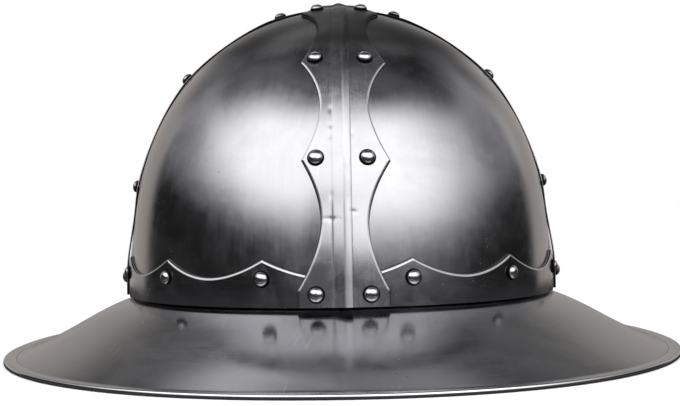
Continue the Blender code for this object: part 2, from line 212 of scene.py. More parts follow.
# sheet metal from a base grid (rows, columns): the top is the base raised by the thickness and the bottom
# the base itself, each drawn in near a free edge, and walls join the two along the free borders.
# at a distance d from the nearest free edge the top drops by bevelDrop (1 - d / bevelWidth)^1.5 and the
# bottom rises by half underBevel (1 - d / underBevel). The ends of a sheet that isn't closed get caps.
# beads: for the first and the last column, the width of the dark bead of painted shade and dirt that lies in
# the corner beside the sheet and how high above the skull it lies
def sheetPiece(name, surface, offset, edgeDistance, wrapUv, sheet, material, closed=False,
               beads=(None, None), marks=None):
    bevel = np.clip(1 - edgeDistance / sheet["bevelWidth"], 0, 1)
    under = np.clip(1 - edgeDistance / sheet["underBevel"], 0, 1)
    top = raised(surface, offset + sheet["thickness"] - sheet["bevelDrop"] * bevel ** 1.5)
    bottom = raised(surface, offset + sheet["underBevel"] * 0.5 * under)
    edge = np.clip(1 - edgeDistance / sheet["wearWidth"], 0, 1)
    lip = offset + sheet["thickness"] - sheet["bevelDrop"] + 0 * edge
    first = beadPoints(surface[:, 0], surface[:, 1], lip[:, 0], beads[0])
    last = beadPoints(surface[:, -1], surface[:, -2], lip[:, -1], beads[1])
    columns, beyond = surface.shape[1], last.shape[1]
    points = np.concatenate([top, last, bottom[:, ::-1], first[:, ::-1]], axis=1)
    lastUv = np.repeat(wrapUv[:, -1:], beyond, axis=1)
    firstUv = np.repeat(wrapUv[:, :1], first.shape[1], axis=1)
    underUv = wrapUv[:, ::-1] + 0.5     # another part of the pattern than on the top
    uvRing = np.concatenate([wrapUv, lastUv, underUv, firstUv, wrapUv[:, :1]], axis=1)
    marks = dict({"grime": 0 * edge, "crest": 0 * edge}, **(marks or {}), edge=edge)
    layers = {}
    for mark, values in marks.items():
        # the wall and bead at each end are fully dark with painted shade and dirt
        shadeAndDirt = 1.0 if mark == "grime" else 0.0
        ends = [0 * last[..., 0] + shadeAndDirt, 0 * edge, 0 * first[..., 0] + shadeAndDirt]
        layers[mark] = np.concatenate([values, *ends], axis=1).ravel()
    rows, around = points.shape[:2]
    index = gridIndex(rows, around)
    ring = np.hstack([index, index[:, :1]])
    if closed:
        ring = np.vstack([ring, ring[:1]])
        uvRing = np.concatenate([uvRing, uvRing[:1] + [[[0.0, sheet["uvLength"]]]]], axis=0)
    quads = gridQuads(ring)
    corners = gridUv(uvRing)
    if not closed:
        facing = np.arange(2 * columns + beyond - 1, columns + beyond - 1, -1)
        for row, flip in ((0, 1), (rows - 1, -1)):
            pair = np.stack([index[row, :columns], index[row, facing]])[::flip]
            quads = np.vstack([quads, gridQuads(pair)])
            corners = np.concatenate([corners, gridUv(np.stack([wrapUv[row], wrapUv[row]])[::flip])])
            for start, side in ((columns - 1, -1), (2 * columns + beyond - 1, 0)):
                if beyond:
                    a, b, c, d, e, f = index[row, (start + np.arange(6)) % around]
                    fan = [(d, c, b, a), (f, e, d, a)] if flip > 0 else [(a, b, c, d), (a, d, e, f)]
                    quads = np.vstack([quads, fan])
                    corners = np.concatenate([corners, np.broadcast_to(wrapUv[row, side], (2, 4, 2))])
    return newPiece(name, points.reshape(-1, 3), quads, corners, layers, material)


# the dark bead of painted shade, with some dirt, in the corner beside a sheet
shadeAndDirtBead = {
    "underLip": 0.00012,    # where the dark wall begins, below the sheet's edge
    "corner": 0.00014,      # height of the dark bead of painted shade and dirt against the wall, above the sheet below
    "thin": 0.00004,        # and where it has run out to
    "sunk": 0.00006,        # its underside, in the sheet below
}


# four points past a side of the grid, all dark with painted shade and dirt: the wall just under the lip, the
# bead in the corner, where it has run out to, and the same just under the sheet below
def beadPoints(side, inward, lip, bead):
    if bead is None:
        return np.zeros((len(side), 0, 3))
    width, floor = bead
    far = side + unit(side - inward) * width[:, None]
    return np.stack([
        raised(side, lip - shadeAndDirtBead["underLip"]),
        raised(side, floor + shadeAndDirtBead["corner"]),
        raised(far, floor + shadeAndDirtBead["thin"]),
        raised(far, floor - shadeAndDirtBead["sunk"]),
    ], axis=1)


# distances from an edge at which a bevelled sheet needs its grid lines
def edgeLines(sheet):
    width = sheet["bevelWidth"]
    return np.array([0, 0.25, 0.5, 0.75, 0.92, 1.0, 1.15, 1.8]) * width


# Node groups and materials

# a link into a socket, or a plain number, vector or colour on it
def feed(tree, socket, value):
    if isinstance(value, bpy.types.NodeSocket):
        tree.links.new(value, socket)
    elif socket.type == "RGBA":
        socket.default_value = (*value, 1)
    else:
        socket.default_value = value


# a node with its settings, and its inputs by name or number
def newNode(tree, kind, inputs=None, **settings):
    node = tree.nodes.new("ShaderNode" + kind)
    for setting, value in settings.items():
        setattr(node, setting, value)
    for key, value in (inputs or {}).items():
        feed(tree, node.inputs[key], value)
    return node


# one step of arithmetic with two sockets or numbers
def calc(tree, operation, a, b=0.0):
    return newNode(tree, "Math", {0: a, 1: b}, operation=operation).outputs[0]


# factors multiplied together
def productOf(tree, *factors):
    total = factors[0]
    for factor in factors[1:]:
        total = calc(tree, "MULTIPLY", total, factor)
    return total


# terms added up, where a pair is multiplied first
def sumOf(tree, *terms):
    singles = [productOf(tree, *term) if isinstance(term, tuple) else term for term in terms]
    total = singles[0]
    for single in singles[1:]:
        total = calc(tree, "ADD", total, single)
    return total


# 0 up to low and 1 from high on, with an S curve between them
def between(tree, value, low, high):
    inputs = {"Value": value, "From Min": low, "From Max": high}
    return newNode(tree, "MapRange", inputs, interpolation_type="SMOOTHSTEP").outputs["Result"]


# a noise texture of a vector stretched by a scale for each axis
def noiseOf(tree, vector, stretch, scale=1.0, detail=2.0, roughness=0.5, distortion=0.0):
    place = newNode(tree, "Mapping", {"Vector": vector, "Scale": stretch}).outputs[0]
    inputs = {"Vector": place, "Scale": scale, "Detail": detail, "Roughness": roughness}
    return newNode(tree, "TexNoise", dict(inputs, Distortion=distortion)).outputs["Fac"]


# a colour laid over another by a mask
def mixed(tree, mask, under, over):
    return newNode(tree, "Mix", {"Factor": mask, 6: under, 7: over}, data_type="RGBA").outputs[2]


# an empty node group with a vector and a number to go in and numbers to come out
def newGroup(name, vector, number, value, outputs):
    group = bpy.data.node_groups.new(name, "ShaderNodeTree")
    group.interface.new_socket(name=vector, in_out="INPUT", socket_type="NodeSocketVector")
    plain = group.interface.new_socket(name=number, in_out="INPUT", socket_type="NodeSocketFloat")
    plain.default_value = value
    for label in outputs:
        group.interface.new_socket(name=label, in_out="OUTPUT", socket_type="NodeSocketFloat")
    return group, group.nodes.new("NodeGroupInput").outputs, group.nodes.new("NodeGroupOutput").inputs


# polishing lines: noise drawn out along the second axis of the wrap map, a fine and a coarse one
def makePolishLines():
    tree, given, out = newGroup("polishLines", "Wrap", "Lines", 1.0, ("Height", "Tone"))
    fine = noiseOf(tree, given["Wrap"], (2600, 46, 1), given["Lines"], 3, 0.6)
    coarse = noiseOf(tree, given["Wrap"], (430, 22, 1), given["Lines"], 4, 0.55, 1.3)
    both = sumOf(tree, (fine, 0.6), (coarse, 0.4))
    feed(tree, out["Height"], both)
    feed(tree, out["Tone"], between(tree, both, 0.36, 0.64))
    return tree


# smudges: slow cloudy noise of the object coordinates, broken by a quicker one
def makeSmudges():
    tree, given, out = newGroup("smudges", "Place", "Size", 30.0, ("Mask",))
    slow = noiseOf(tree, given["Place"], (1, 1, 1.3), given["Size"], 5, 0.62, 1.1)
    quick = noiseOf(tree, given["Place"], (7, 7, 7), given["Size"], 3, 0.6)
    both = sumOf(tree, (slow, 0.75), (quick, 0.25))
    feed(tree, out["Mask"], between(tree, both, 0.38, 0.62))
    return tree


# scratches: the crests of long thin noise in three directions, kept only where a slow noise is high
def makeScratches():
    tree, given, out = newGroup("scratches", "Place", "Amount", 0.5, ("Mask",))
    lays = (
        ((0.3, 0.2, 0.5), (900, 24, 24)),
        ((1.1, 0.5, 2.2), (24, 1100, 30)),
        ((0.2, 1.3, 1.2), (30, 26, 1000)),
    )
    crests = 0.0
    for turn, stretch in lays:
        lay = newNode(tree, "Mapping", {"Vector": given["Place"], "Rotation": turn}).outputs[0]
        line = noiseOf(tree, lay, stretch, 1.0, 1, 0.5)
        crests = calc(tree, "MAXIMUM", crests, between(tree, line, 0.735, 0.76))
    some = noiseOf(tree, given["Place"], (1, 1, 1), 60, 2, 0.5)
    feed(tree, out["Mask"], productOf(tree, crests, between(tree, some, 0.50, 0.62), given["Amount"]))
    return tree


# edge wear: the edge attribute, eaten away by noise so that the bright rim is uneven
def makeEdgeWear():
    tree, given, out = newGroup("edgeWear", "Place", "Edge", 0.0, ("Mask",))
    eaten = noiseOf(tree, given["Place"], (1, 1, 1), 420, 3, 0.6)
    lifted = sumOf(tree, given["Edge"], (eaten, 0.5), -0.25)
    feed(tree, out["Mask"], between(tree, lifted, 0.45, 0.85))
    return tree


# pits: small round hollows round scattered points, each darkest in its middle
def makePits():
    tree, given, out = newGroup("pits", "Place", "Spacing", 260.0, ("Mask",))
    cells = newNode(tree, "TexVoronoi", {"Vector": given["Place"], "Scale": given["Spacing"]})
    some = noiseOf(tree, given["Place"], (1, 1, 1), 45, 3, 0.6)
    near = between(tree, calc(tree, "SUBTRACT", 0.16, cells.outputs["Distance"]), 0.0, 0.12)
    feed(tree, out["Mask"], productOf(tree, near, between(tree, some, 0.55, 0.66)))
    return tree


groups = {
    "polishLines": makePolishLines(),
    "smudges": makeSmudges(),
    "scratches": makeScratches(),
    "edgeWear": makeEdgeWear(),
    "pits": makePits(),
}


# polished sheet steel. Colour = a mix of deep and pale by the smudges and lines, lightened at worn edges, at
# the rubbed crest, where wear carries a painted highlight, and by scratches, darkened in pits, by painted
# shade that grows towards the crown as a dark reflection and by painted shade and dirt in corners, creases
# and round rivets; roughness = ground + smudges + lines + pits + shade and grime + crest + crown shade, less
# at worn edges; bump = lines, less scratches and pits
def makeSteel(name, steel):
    material = bpy.data.materials.new(name)
    material.use_nodes = True
    tree = material.node_tree
    shader = tree.nodes["Principled BSDF"]
    place = newNode(tree, "TexCoord").outputs["Object"]
    wrap = newNode(tree, "UVMap", uv_map="wrap").outputs[0]
    height = newNode(tree, "SeparateXYZ", {0: place}).outputs["Z"]

    # the values of an attribute of the mesh
    def layer(name):
        return newNode(tree, "Attribute", attribute_name=name).outputs["Fac"]

    # a shared group with this steel's values
    def use(group, **given):
        return newNode(tree, "Group", given, node_tree=groups[group]).outputs

    edge, grime, crest = layer("edge"), layer("grime"), layer("crest")
    lines = use("polishLines", Wrap=wrap, Lines=steel["lines"])
    smudge = use("smudges", Place=place, Size=steel["smudgeSize"])["Mask"]
    scratch = use("scratches", Place=place, Amount=steel["scratches"])["Mask"]
    worn = use("edgeWear", Place=place, Edge=edge)["Mask"]
    pit = use("pits", Place=place, Spacing=steel["pitSpacing"])["Mask"]
    # painted shade towards the crown, standing for a dark reflection
    paintedCrownShade = productOf(tree, between(tree, height, *steel["paintedCrownShadeHeights"]), steel["paintedCrownShade"])

    tone = sumOf(tree, (smudge, steel["smudgeShare"]), (lines["Tone"], 1 - steel["smudgeShare"]))
    colour = mixed(tree, tone, steel["deep"], steel["pale"])
    # the crest lightened by wear and a painted highlight
    colour = mixed(tree, productOf(tree, crest, steel["crestRubAndSheen"]), colour, steel["edgeColour"])
    colour = mixed(tree, worn, colour, steel["edgeColour"])
    colour = mixed(tree, productOf(tree, pit, steel["pitDepth"]), colour, steel["pitColour"])
    colour = mixed(tree, productOf(tree, scratch, steel["scratchShine"]), colour, steel["edgeColour"])
    colour = mixed(tree, paintedCrownShade, colour, steel["paintedCrownShadeColour"])
    # painted shade and dirt in corners, creases and round rivets
    feed(tree, shader.inputs["Base Color"], mixed(tree, grime, colour, steel["shadeAndGrimeColour"]))

    rough = sumOf(
        tree, steel["roughness"], (smudge, steel["smudgeRoughness"]),
        (lines["Tone"], steel["lineRoughness"]), (pit, steel["pitRoughness"]),
        (worn, -steel["edgePolish"]), (grime, steel["shadeAndGrimeRoughness"]),
        (crest, steel["crestRoughness"]), (paintedCrownShade, steel["paintedCrownShadeRoughness"]))
    feed(tree, shader.inputs["Roughness"], calc(tree, "MAXIMUM", rough, steel["smoothest"]))
    shader.inputs["Metallic"].default_value = 1.0

    relief = sumOf(tree, (lines["Height"], steel["lineDepth"]), (scratch, -steel["scratchDepth"]),
                   (pit, -steel["pitHollow"]))
    bump = newNode(tree, "Bump", {"Strength": 1.0, "Distance": 1.0, "Height": relief})
    feed(tree, shader.inputs["Normal"], bump.outputs[0])
    return material


plateSteel = {
    "deep": (0.415, 0.412, 0.435),
    "pale": (0.505, 0.500, 0.525),
    "smudgeShare": 0.74,            # of the smudges in the mix of deep and pale, the lines have the rest
    "smudgeSize": 22.0,             # noise scale, higher is smaller
    "smudgeRoughness": 0.08,
    "lines": 1.0,                   # noise scale of the polishing lines, higher is finer
    "lineRoughness": 0.04,
    "lineDepth": 0.0000011,
    "edgeColour": (0.72, 0.72, 0.745),
    "edgePolish": 0.05,             # roughness lost at worn edges
    "crestRubAndSheen": 0.75,               # share of the edge colour on the crest, wear with a painted highlight
    "crestRoughness": 0.2,
    "scratches": 0.2,               # strength, 0 for none
    "scratchShine": 0.5,            # share of the edge colour in them
    "scratchDepth": 0.0000060,
    "pitColour": (0.16, 0.15, 0.15),
    "pitSpacing": 300.0,            # cells to the metre
    "pitDepth": 0.5,                # share of the pit colour
    "pitRoughness": 0.25,
    "pitHollow": 0.00002,
    "roughness": 0.13,              # of clean, unmarked steel
    "smoothest": 0.05,
    "paintedCrownShade": 0.9,                  # share of the painted shade at the crown, standing for a dark reflection, where it is whole
    "paintedCrownShadeHeights": (0.137, 0.151),    # above the ground, where it begins and where it is whole
    # colour of the painted shade at the crown
    "paintedCrownShadeColour": (0.035, 0.032, 0.031),
    "paintedCrownShadeRoughness": 0.12,
    # colour of the painted shade and dirt in corners, creases and round rivets
    "shadeAndGrimeColour": (0.012, 0.011, 0.012),
    "shadeAndGrimeRoughness": 0.5,
}
strapSteel = dict(plateSteel, deep=(0.43, 0.428, 0.45), pale=(0.52, 0.518, 0.54), smudgeSize=34.0,
                  roughness=0.20, scratches=0.3, lineDepth=0.0000012, paintedCrownShade=0.95)
bandSteel = dict(strapSteel, roughness=0.12, scratches=0.15)
brimSteel = dict(plateSteel, deep=(0.35, 0.346, 0.36), pale=(0.44, 0.436, 0.455), smudgeSize=16.0,
                 scratches=0.5, paintedCrownShade=0.0)
rivetSteel = dict(plateSteel, deep=(0.58, 0.58, 0.60), pale=(0.70, 0.70, 0.72), smudgeSize=160.0,
                  roughness=0.09, smudgeRoughness=0.04, scratches=0.4, pitSpacing=900.0, paintedCrownShade=0.0)

steels = {
    "plate": plateSteel,
    "strap": strapSteel,
    "band": bandSteel,
    "brim": brimSteel,
    "rivet": rivetSteel,
}
for sort, steel in steels.items():
    steels[sort] = makeSteel("polished" + sort.capitalize() + "Steel", steel)
print("materials made:", len(steels))

# Skull plates

plates = {
    "thickness": 0.0012,
    "seam": 0.0010,             # between neighbouring plates, under the straps
    "crownOpening": 0.0080,     # radius left open where the four tips meet
    "rows": 92,
    "columns": 88,
    "bevelWidth": 0.0006,
    "bevelDrop": 0.0004,
    "underBevel": 0.0003,
    "wearWidth": 0.0012,
}
quarters = {"front_left": (-1, -1), "front_right": (1, -1), "rear_left": (-1, 1), "rear_right": (1, 1)}


# a quarter of the skull: rows are lengths along the front meridian, columns are turns from seam to seam,
# (wide sin turn, radius cos turn) with the meridian's radius and wide = halfWidth radius / halfDepth
def skullPlate(quarter):
    side, back = quarters[quarter]
    lengths, radii = meridians["front"][:2]
    whole = lengths[np.argmax(radii <= plates["crownOpening"])]
    lines = edgeLines(plates)
    inner = np.linspace(lines[-1], whole - lines[-1], plates["rows"])
    length = np.concatenate([lines[:-1], inner, (whole - lines[:-1])[::-1]])[:, None]
    radius, height = onMeridian("front", length)
    wide = skull["halfWidth"] * radius / skull["halfDepth"]
    first = np.arcsin(plates["seam"] / 2 / wide)
    last = np.pi / 2 - np.arcsin(plates["seam"] / 2 / radius)
    middle = np.linspace(0, 1, plates["columns"])[None, :]
    start, end = first + lines[-1] / wide, last - lines[-1] / radius
    turn = np.concatenate([
        first + lines[None, :-1] / wide,
        start + (end - start) * middle,
        (last - lines[None, :-1] / radius)[:, ::-1]], axis=1)
    surface = np.stack([
        side * wide * np.sin(turn),
        back * radius * np.cos(turn),
        skull["brow"] + height + 0 * turn,
    ], axis=-1)
    toSeam = np.minimum((turn - first) * wide, (last - turn) * radius)
    toEdge = np.minimum(toSeam, np.minimum(length, whole - length))
    wrapUv = np.stack([turn * skull["halfWidth"] + 0 * length, length + 0 * turn], axis=-1)
    wrapUv = wrapUv + list(quarters).index(quarter)     # another part of the pattern on each plate
    name = "planishedPlate_" + quarter
    piece = sheetPiece(name, surface, -plates["thickness"], toEdge, wrapUv, plates, steels["plate"])
    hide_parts("skull_plate_" + quarter)
    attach(piece, "root")


for quarter in quarters:
    skullPlate(quarter)
print("skull plates made:", len(quarters))

# Brow band

band = {
    "thickness": 0.0012,
    "valleyHeight": 0.0120,         # above the brow line, midway between two points
    "pointHeight": 0.0200,          # above the brow line, at a point
    "drop": 0.0002,                 # of the lower edge below the brow line
    "points": (16.9, 44.8, 74.5),   # degrees from the front or back centre
    "turn": -0.9,                   # degrees that the whole band sits round, towards +X
    "scallop": 1.9,                 # exponent of the curve between two points
    "rivetHeight": 0.0120,
    "scallopSteps": 34,
    "rows": 18,
    "beadWidth": 0.0005,            # of the dark bead of painted shade and dirt along its upper edge
    "bevelWidth": 0.0009,
    "bevelDrop": 0.0004,
    "underBevel": 0.0003,
    "wearWidth": 0.0007,
}


# the points all the way round, in degrees from the front centre towards +X
def bandPoints():
    quarter = np.array(band["points"])
    half = np.concatenate([quarter, 180 - quarter[::-1]])
    return np.concatenate([half, 360 - half[::-1]]) + band["turn"]


# valley + (point - valley) |2 share - 1|^scallop, with share the way from one point to the next
def bandHeight(turn):
    points = bandPoints()
    stops = np.concatenate([[points[-1] - 360], points, [points[0] + 360]])
    spot = np.clip(np.searchsorted(stops, turn, side="right"), 1, len(stops) - 1)
    share = np.abs(2 * (turn - stops[spot - 1]) / (stops[spot] - stops[spot - 1]) - 1)
    return band["valleyHeight"] + (band["pointHeight"] - band["valleyHeight"]) * share ** band["scallop"]


# the band: rows go round the skull from its first point, columns go up from its lower edge
def browBand():
    points = bandPoints()
    stops = np.concatenate([points, [points[0] + 360]])
    spans = [crowdedSteps(before, after, band["scallopSteps"]) for before, after in zip(stops, stops[1:])]
    turn = np.concatenate(spans)[:, None]
    tall = bandHeight(turn % 360)
    lines = edgeLines(band)
    middle = np.linspace(0, 1, band["rows"])[None, :]
    low = -band["drop"]
    height = np.concatenate([
        low + lines[None, :-1] + 0 * tall,
        low + lines[-1] + (tall - low - 2 * lines[-1]) * middle,
        (tall - lines[None, :-1])[:, ::-1]], axis=1)
    surface = skullAt(turn + 0 * height, height)
    toEdge = tall - height
    around = np.radians(turn) * skull["halfDepth"]
    sheet = dict(band, uvLength=2 * np.pi * skull["halfDepth"])
    wrapUv = np.stack([height + 0 * around, around + 0 * height], axis=-1)
    # a dark bead of painted shade and dirt along the band's upper edge
    bead = (band["beadWidth"] + 0 * tall[:, 0], 0 * tall[:, 0])
    piece = sheetPiece("scallopedBrowBand", surface, skull["sheetGap"], toEdge, wrapUv, sheet,
                       steels["band"], closed=True, beads=(None, bead))
    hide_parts("brow_band")
    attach(piece, "root")


browBand()
print("brow band made")

# Straps

straps = {
    "thickness": 0.0012,
    "pointHalfWidth": 0.0188,
    "frontShift": 0.0009,           # of the front-to-back strap's centre line towards +X
    "scallop": 1.8,                 # exponent of the curve between two points
    "rivetOffsets": (0.0112, 0.0109, 0.0110, 0.0108),   # of a pair's rivets sideways, foot to crown
    "ridgeHalfWidth": 0.0041,
    "ridgeHeight": 0.0017,
    "ridgeFade": 0.45,              # share of its height lost up to the second points
    "crownRidge": 0.0010,           # its height where it crosses the crown
    "crestPlace": 0.0022,           # of the crest towards +X, as the press left it
    "crestHalfWidth": 0.0015,       # of the rounded, worn bead along the crest
    "crestFall": 0.00040,           # how much lower the bead's sides are than its top
    "crestWearAndSheen": (1.35, 0.65),      # half widths from the crest where its wear and painted highlight ends and where it is whole
    "crestWearAndSheenEnd": 0.012,          # past the first points, where that wear and painted highlight begins to fade
    "creaseShade": 0.55,             # painted shade in the ridge's crease, on the lower part of the strap
    "creaseWidth": 0.00045,
    "creaseLeft": 0.15,             # share of it that is left above creaseTop
    "creaseTop": (0.040, 0.050),    # lengths between which it thins out
    "besideCrest": (0.5, 0.00035),  # share and width of the painted shade beside the crest's bead
    "footRise": 0.0001,             # of the feet above the brow line
    "beadWidth": {"front": (0.0007, 0.0004), "side": (0.0010, 0.0010)},     # of the dark bead of painted shade and dirt, low and high
    "beadChange": (-0.005, 0.003),  # from the first points, where the low width turns into the high one
    "footStepLength": 0.0300,       # over which a strap rises from the plates onto the band
    "crossingStepLength": 0.0100,   # over which the upper strap rises onto the lower one
    "stepMargin": 0.0020,
    "footHeight": {"front": 0.0070, "side": 0.0120},    # where the straight foot ends
    "footRivets": {"front": 0.0055, "side": 0.0092},
    "points": {"front": (0.296, 0.539, 0.811), "side": (0.272, 0.567, 0.827)},  # shares of the meridian
    "rivetLeads": (0.0002, 0.0013, 0.0060),     # of the three upper pairs past the points
    "waists": (0.0096, 0.0104, 0.0112),         # half widths midway between the points
    "crossingHalfWidth": 0.0108,
    "rowSpacing": 0.0010,
    "leastSpacing": 0.00004,
    "flatColumns": 10,
    "flatCrowding": 1.25,           # of those columns towards the ridge, 1 for even
    "ridgeColumns": 37,
    "knockRows": (1.6, 7),          # half lengths either side of a knock, and rows of the grid there
    "frontDrift": (0, 0.0010, 0.0019, 0.0015, 0.0015, 0.0004),  # foot, waist, point, waist, point, crown
    "bevelWidth": 0.0009,
    "bevelDrop": 0.00034,
    "underBevel": 0.0003,
    "wearWidth": 0.0007,
}


# lengths from the brow at which a strap changes
def strapKeys(way):
    whole = meridians[way][0][-1]
    edgeTurn = math.degrees(straps["pointHalfWidth"] / skull["halfWidth"])
    step = float(bandHeight(np.array([edgeTurn]))[0]) + straps["stepMargin"] / 2
    crossed = whole - straps["crossingHalfWidth"] - straps["stepMargin"]
    return {
        "foot": straps["footHeight"][way],
        "step": (step, step + straps["footStepLength"]),
        "points": [whole * share for share in straps["points"][way]],
        "whole": whole,
        "crossing": (crossed - straps["crossingStepLength"], crossed),
    }


# straight-sided foot, then waist + (point - waist) |2 share - 1|^scallop between one point and the next
def strapHalfWidth(way, length):
    keys = strapKeys(way)
    stops = np.array([keys["foot"], *keys["points"], 2 * keys["whole"] - keys["points"][-1]])
    waists = np.array([*straps["waists"], straps["crossingHalfWidth"]])
    spot = np.clip(np.searchsorted(stops, length, side="right"), 1, len(stops) - 1)
    share = np.abs(2 * (length - stops[spot - 1]) / (stops[spot] - stops[spot - 1]) - 1)
    waist = waists[spot - 1]
    drawn = waist + (straps["pointHalfWidth"] - waist) * share ** straps["scallop"]
    return np.where(length <= keys["foot"], straps["pointHalfWidth"], drawn)


# the inner face above the skull: up over the band, and up over the other strap if this one lies on top
def strapOffset(way, length):
    keys = strapKeys(way)
    gap = skull["sheetGap"]
    offset = gap + (band["thickness"] + gap) * (1 - smoothRamp(length, *keys["step"]))
    if way == "front":
        offset = offset + (straps["thickness"] + gap) * smoothRamp(length, *keys["crossing"])
    return offset


# ridge across the strap: a slope from its left foot up to the bead's side, the bead of the crest,
# ridgeHeight - crestFall (away / crestHalfWidth)^2, and a short steep side to its right foot; towards the
# crown it turns into the bell s^2 (3 - 2 s) with s = 1 - |lateral| / ridgeHalfWidth, as high as crownRidge,
# and under the other strap it dies out
def ridgeRise(way, length, lateral):
    keys = strapKeys(way)
    half, wide = straps["ridgeHalfWidth"], straps["crestHalfWidth"]
    shoulder = straps["ridgeHeight"] - straps["crestFall"]
    away = lateral - straps["crestPlace"]
    bead = straps["ridgeHeight"] - straps["crestFall"] * (away / wide) ** 2
    slope = shoulder * (lateral + half) / (half + straps["crestPlace"] - wide)
    side = shoulder * (half - lateral) / (half - straps["crestPlace"] - wide)
    pressed = np.clip(np.where(away < -wide, slope, np.where(away > wide, side, bead)), 0, None)
    pressed = pressed * (1 - straps["ridgeFade"] * smoothRamp(length, keys["points"][0], keys["points"][1]))
    s = np.clip(1 - np.abs(lateral) / half, 0, 1)
    bell = smoothRamp(length, keys["points"][-1], keys["crossing"][1])
    rise = pressed * (1 - bell) + straps["crownRidge"] * s * s * (3 - 2 * s) * bell
    if way == "side":
        rise = rise * (1 - smoothRamp(length, *keys["crossing"]))
    return rise


# wear and a painted highlight along the bead's top, gone before the crown
def crestWearAndSheen(way, length, lateral):
    keys = strapKeys(way)
    away = np.abs(lateral - straps["crestPlace"]) / straps["crestHalfWidth"]
    fading = smoothRamp(length, keys["points"][0] + straps["crestWearAndSheenEnd"], keys["points"][1])
    return smoothRamp(away, *straps["crestWearAndSheen"]) * (1 - fading)


# painted shade in the crease at the ridge's left foot and, weaker, at the bead's side, on the lower part
def creaseShade(length, lateral):
    share, width = straps["besideCrest"]
    foot = np.exp(-((lateral + straps["ridgeHalfWidth"]) / straps["creaseWidth"]) ** 2)
    step = share * np.exp(-((lateral - straps["crestPlace"] + straps["crestHalfWidth"]) / width) ** 2)
    lost = (1 - straps["creaseLeft"]) * smoothRamp(length, *straps["creaseTop"])
    return straps["creaseShade"] * (foot + step) * (1 - lost)


# height above the skull of the sheet a strap lies on: the band's top at its foot, the other strap's top at
# the crown, and the plates between
def strapFloor(way, length):
    keys = strapKeys(way)
    gap = skull["sheetGap"]
    floor = (length < keys["step"][0]) * (band["thickness"] + gap)
    if way == "front":
        floor = floor + (length > keys["whole"] - straps["crossingHalfWidth"]) * (straps["thickness"] + gap)
    return floor


# width of the dark bead of painted shade and dirt beside a strap: the low width up to its first points, then
# the high one
def strapBead(way, length):
    low, high = straps["beadWidth"][way]
    start, end = strapKeys(way)["points"][0] + np.array(straps["beadChange"])
    return high + (low - high) * (1 - smoothRamp(length, start, end))


# knocks on the front arm: length from the brow, place across, half length, half width, depth
dents = (
    (0.0372, -0.0052, 0.0009, 0.0030, 0.00010),
    (0.0366, -0.0042, 0.0012, 0.0011, 0.00022),
    (0.0400, 0.0044, 0.0010, 0.0014, 0.00020),
    (0.0470, -0.0044, 0.0015, 0.0009, 0.00012),
    (0.0735, -0.0044, 0.0017, 0.0010, 0.00020),
    (0.0785, -0.0043, 0.0014, 0.0009, 0.00018),
    (0.0745, 0.0045, 0.0013, 0.0009, 0.00014),
    (0.0865, -0.0045, 0.0018, 0.0009, 0.00015),
)


# sum over the knocks of depth exp(-(along / half length)^2 - (across / half width)^2), on the front arm only
def knocked(way, end, length, lateral):
    total = 0 * (length + lateral)
    if way == "front":
        for spot, across, halfLength, halfWidth, depth in dents:
            away = ((length - spot) / halfLength) ** 2 + ((lateral - across) / halfWidth) ** 2
            total = total + depth * np.exp(-away) * (end < 0)
    return total


# how far the front arm's outline was cut to one side of its ridge, read between the strap's points
def outlineDrift(way, end, length):
    keys = strapKeys(way)
    stops = [keys["foot"], *keys["points"]]
    middles = [(before + after) / 2 for before, after in zip(stops, stops[1:])]
    places = [stops[0], middles[0], stops[1], middles[1], stops[2], stops[3]]
    drift = np.interp(length, places, straps["frontDrift"])
    return drift * (end < 0) if way == "front" else 0 * drift


# the skull under a strap: a ray from (lateral, 0) or (0, lateral) on the brow line towards the meridian
def strapSkull(way, end, length, lateral):
    radius, height = onMeridian(way, length)
    end, radius, height, lateral = np.broadcast_arrays(end, radius, height, lateral)
    still = 0 * lateral
    if way == "front":
        return skullHit(np.stack([lateral + straps["frontShift"], still, still + skull["brow"]], axis=-1),
                        np.stack([still, end * radius, height], axis=-1))
    return skullHit(np.stack([still, lateral, still + skull["brow"]], axis=-1),
                    np.stack([end * radius, still, height], axis=-1))


# lengths of the grid rows from the brow to the crown, crowded where the outline turns sharply
def strapRows(way):
    keys = strapKeys(way)
    stops = [straps["footRise"], keys["foot"], *keys["points"], keys["whole"]]
    rows = [np.array([straps["footRise"]])]
    for before, after in zip(stops, stops[1:]):
        rows.append(crowdedSteps(before, after, int((after - before) / straps["rowSpacing"]) + 1))
    if way == "front":
        reach, count = straps["knockRows"]
        spread = np.linspace(-reach, reach, count)
        rows += [knock[0] + knock[2] * spread for knock in dents]
    rows = np.sort(np.concatenate(rows))
    return rows[np.diff(rows, prepend=-1) > straps["leastSpacing"]]


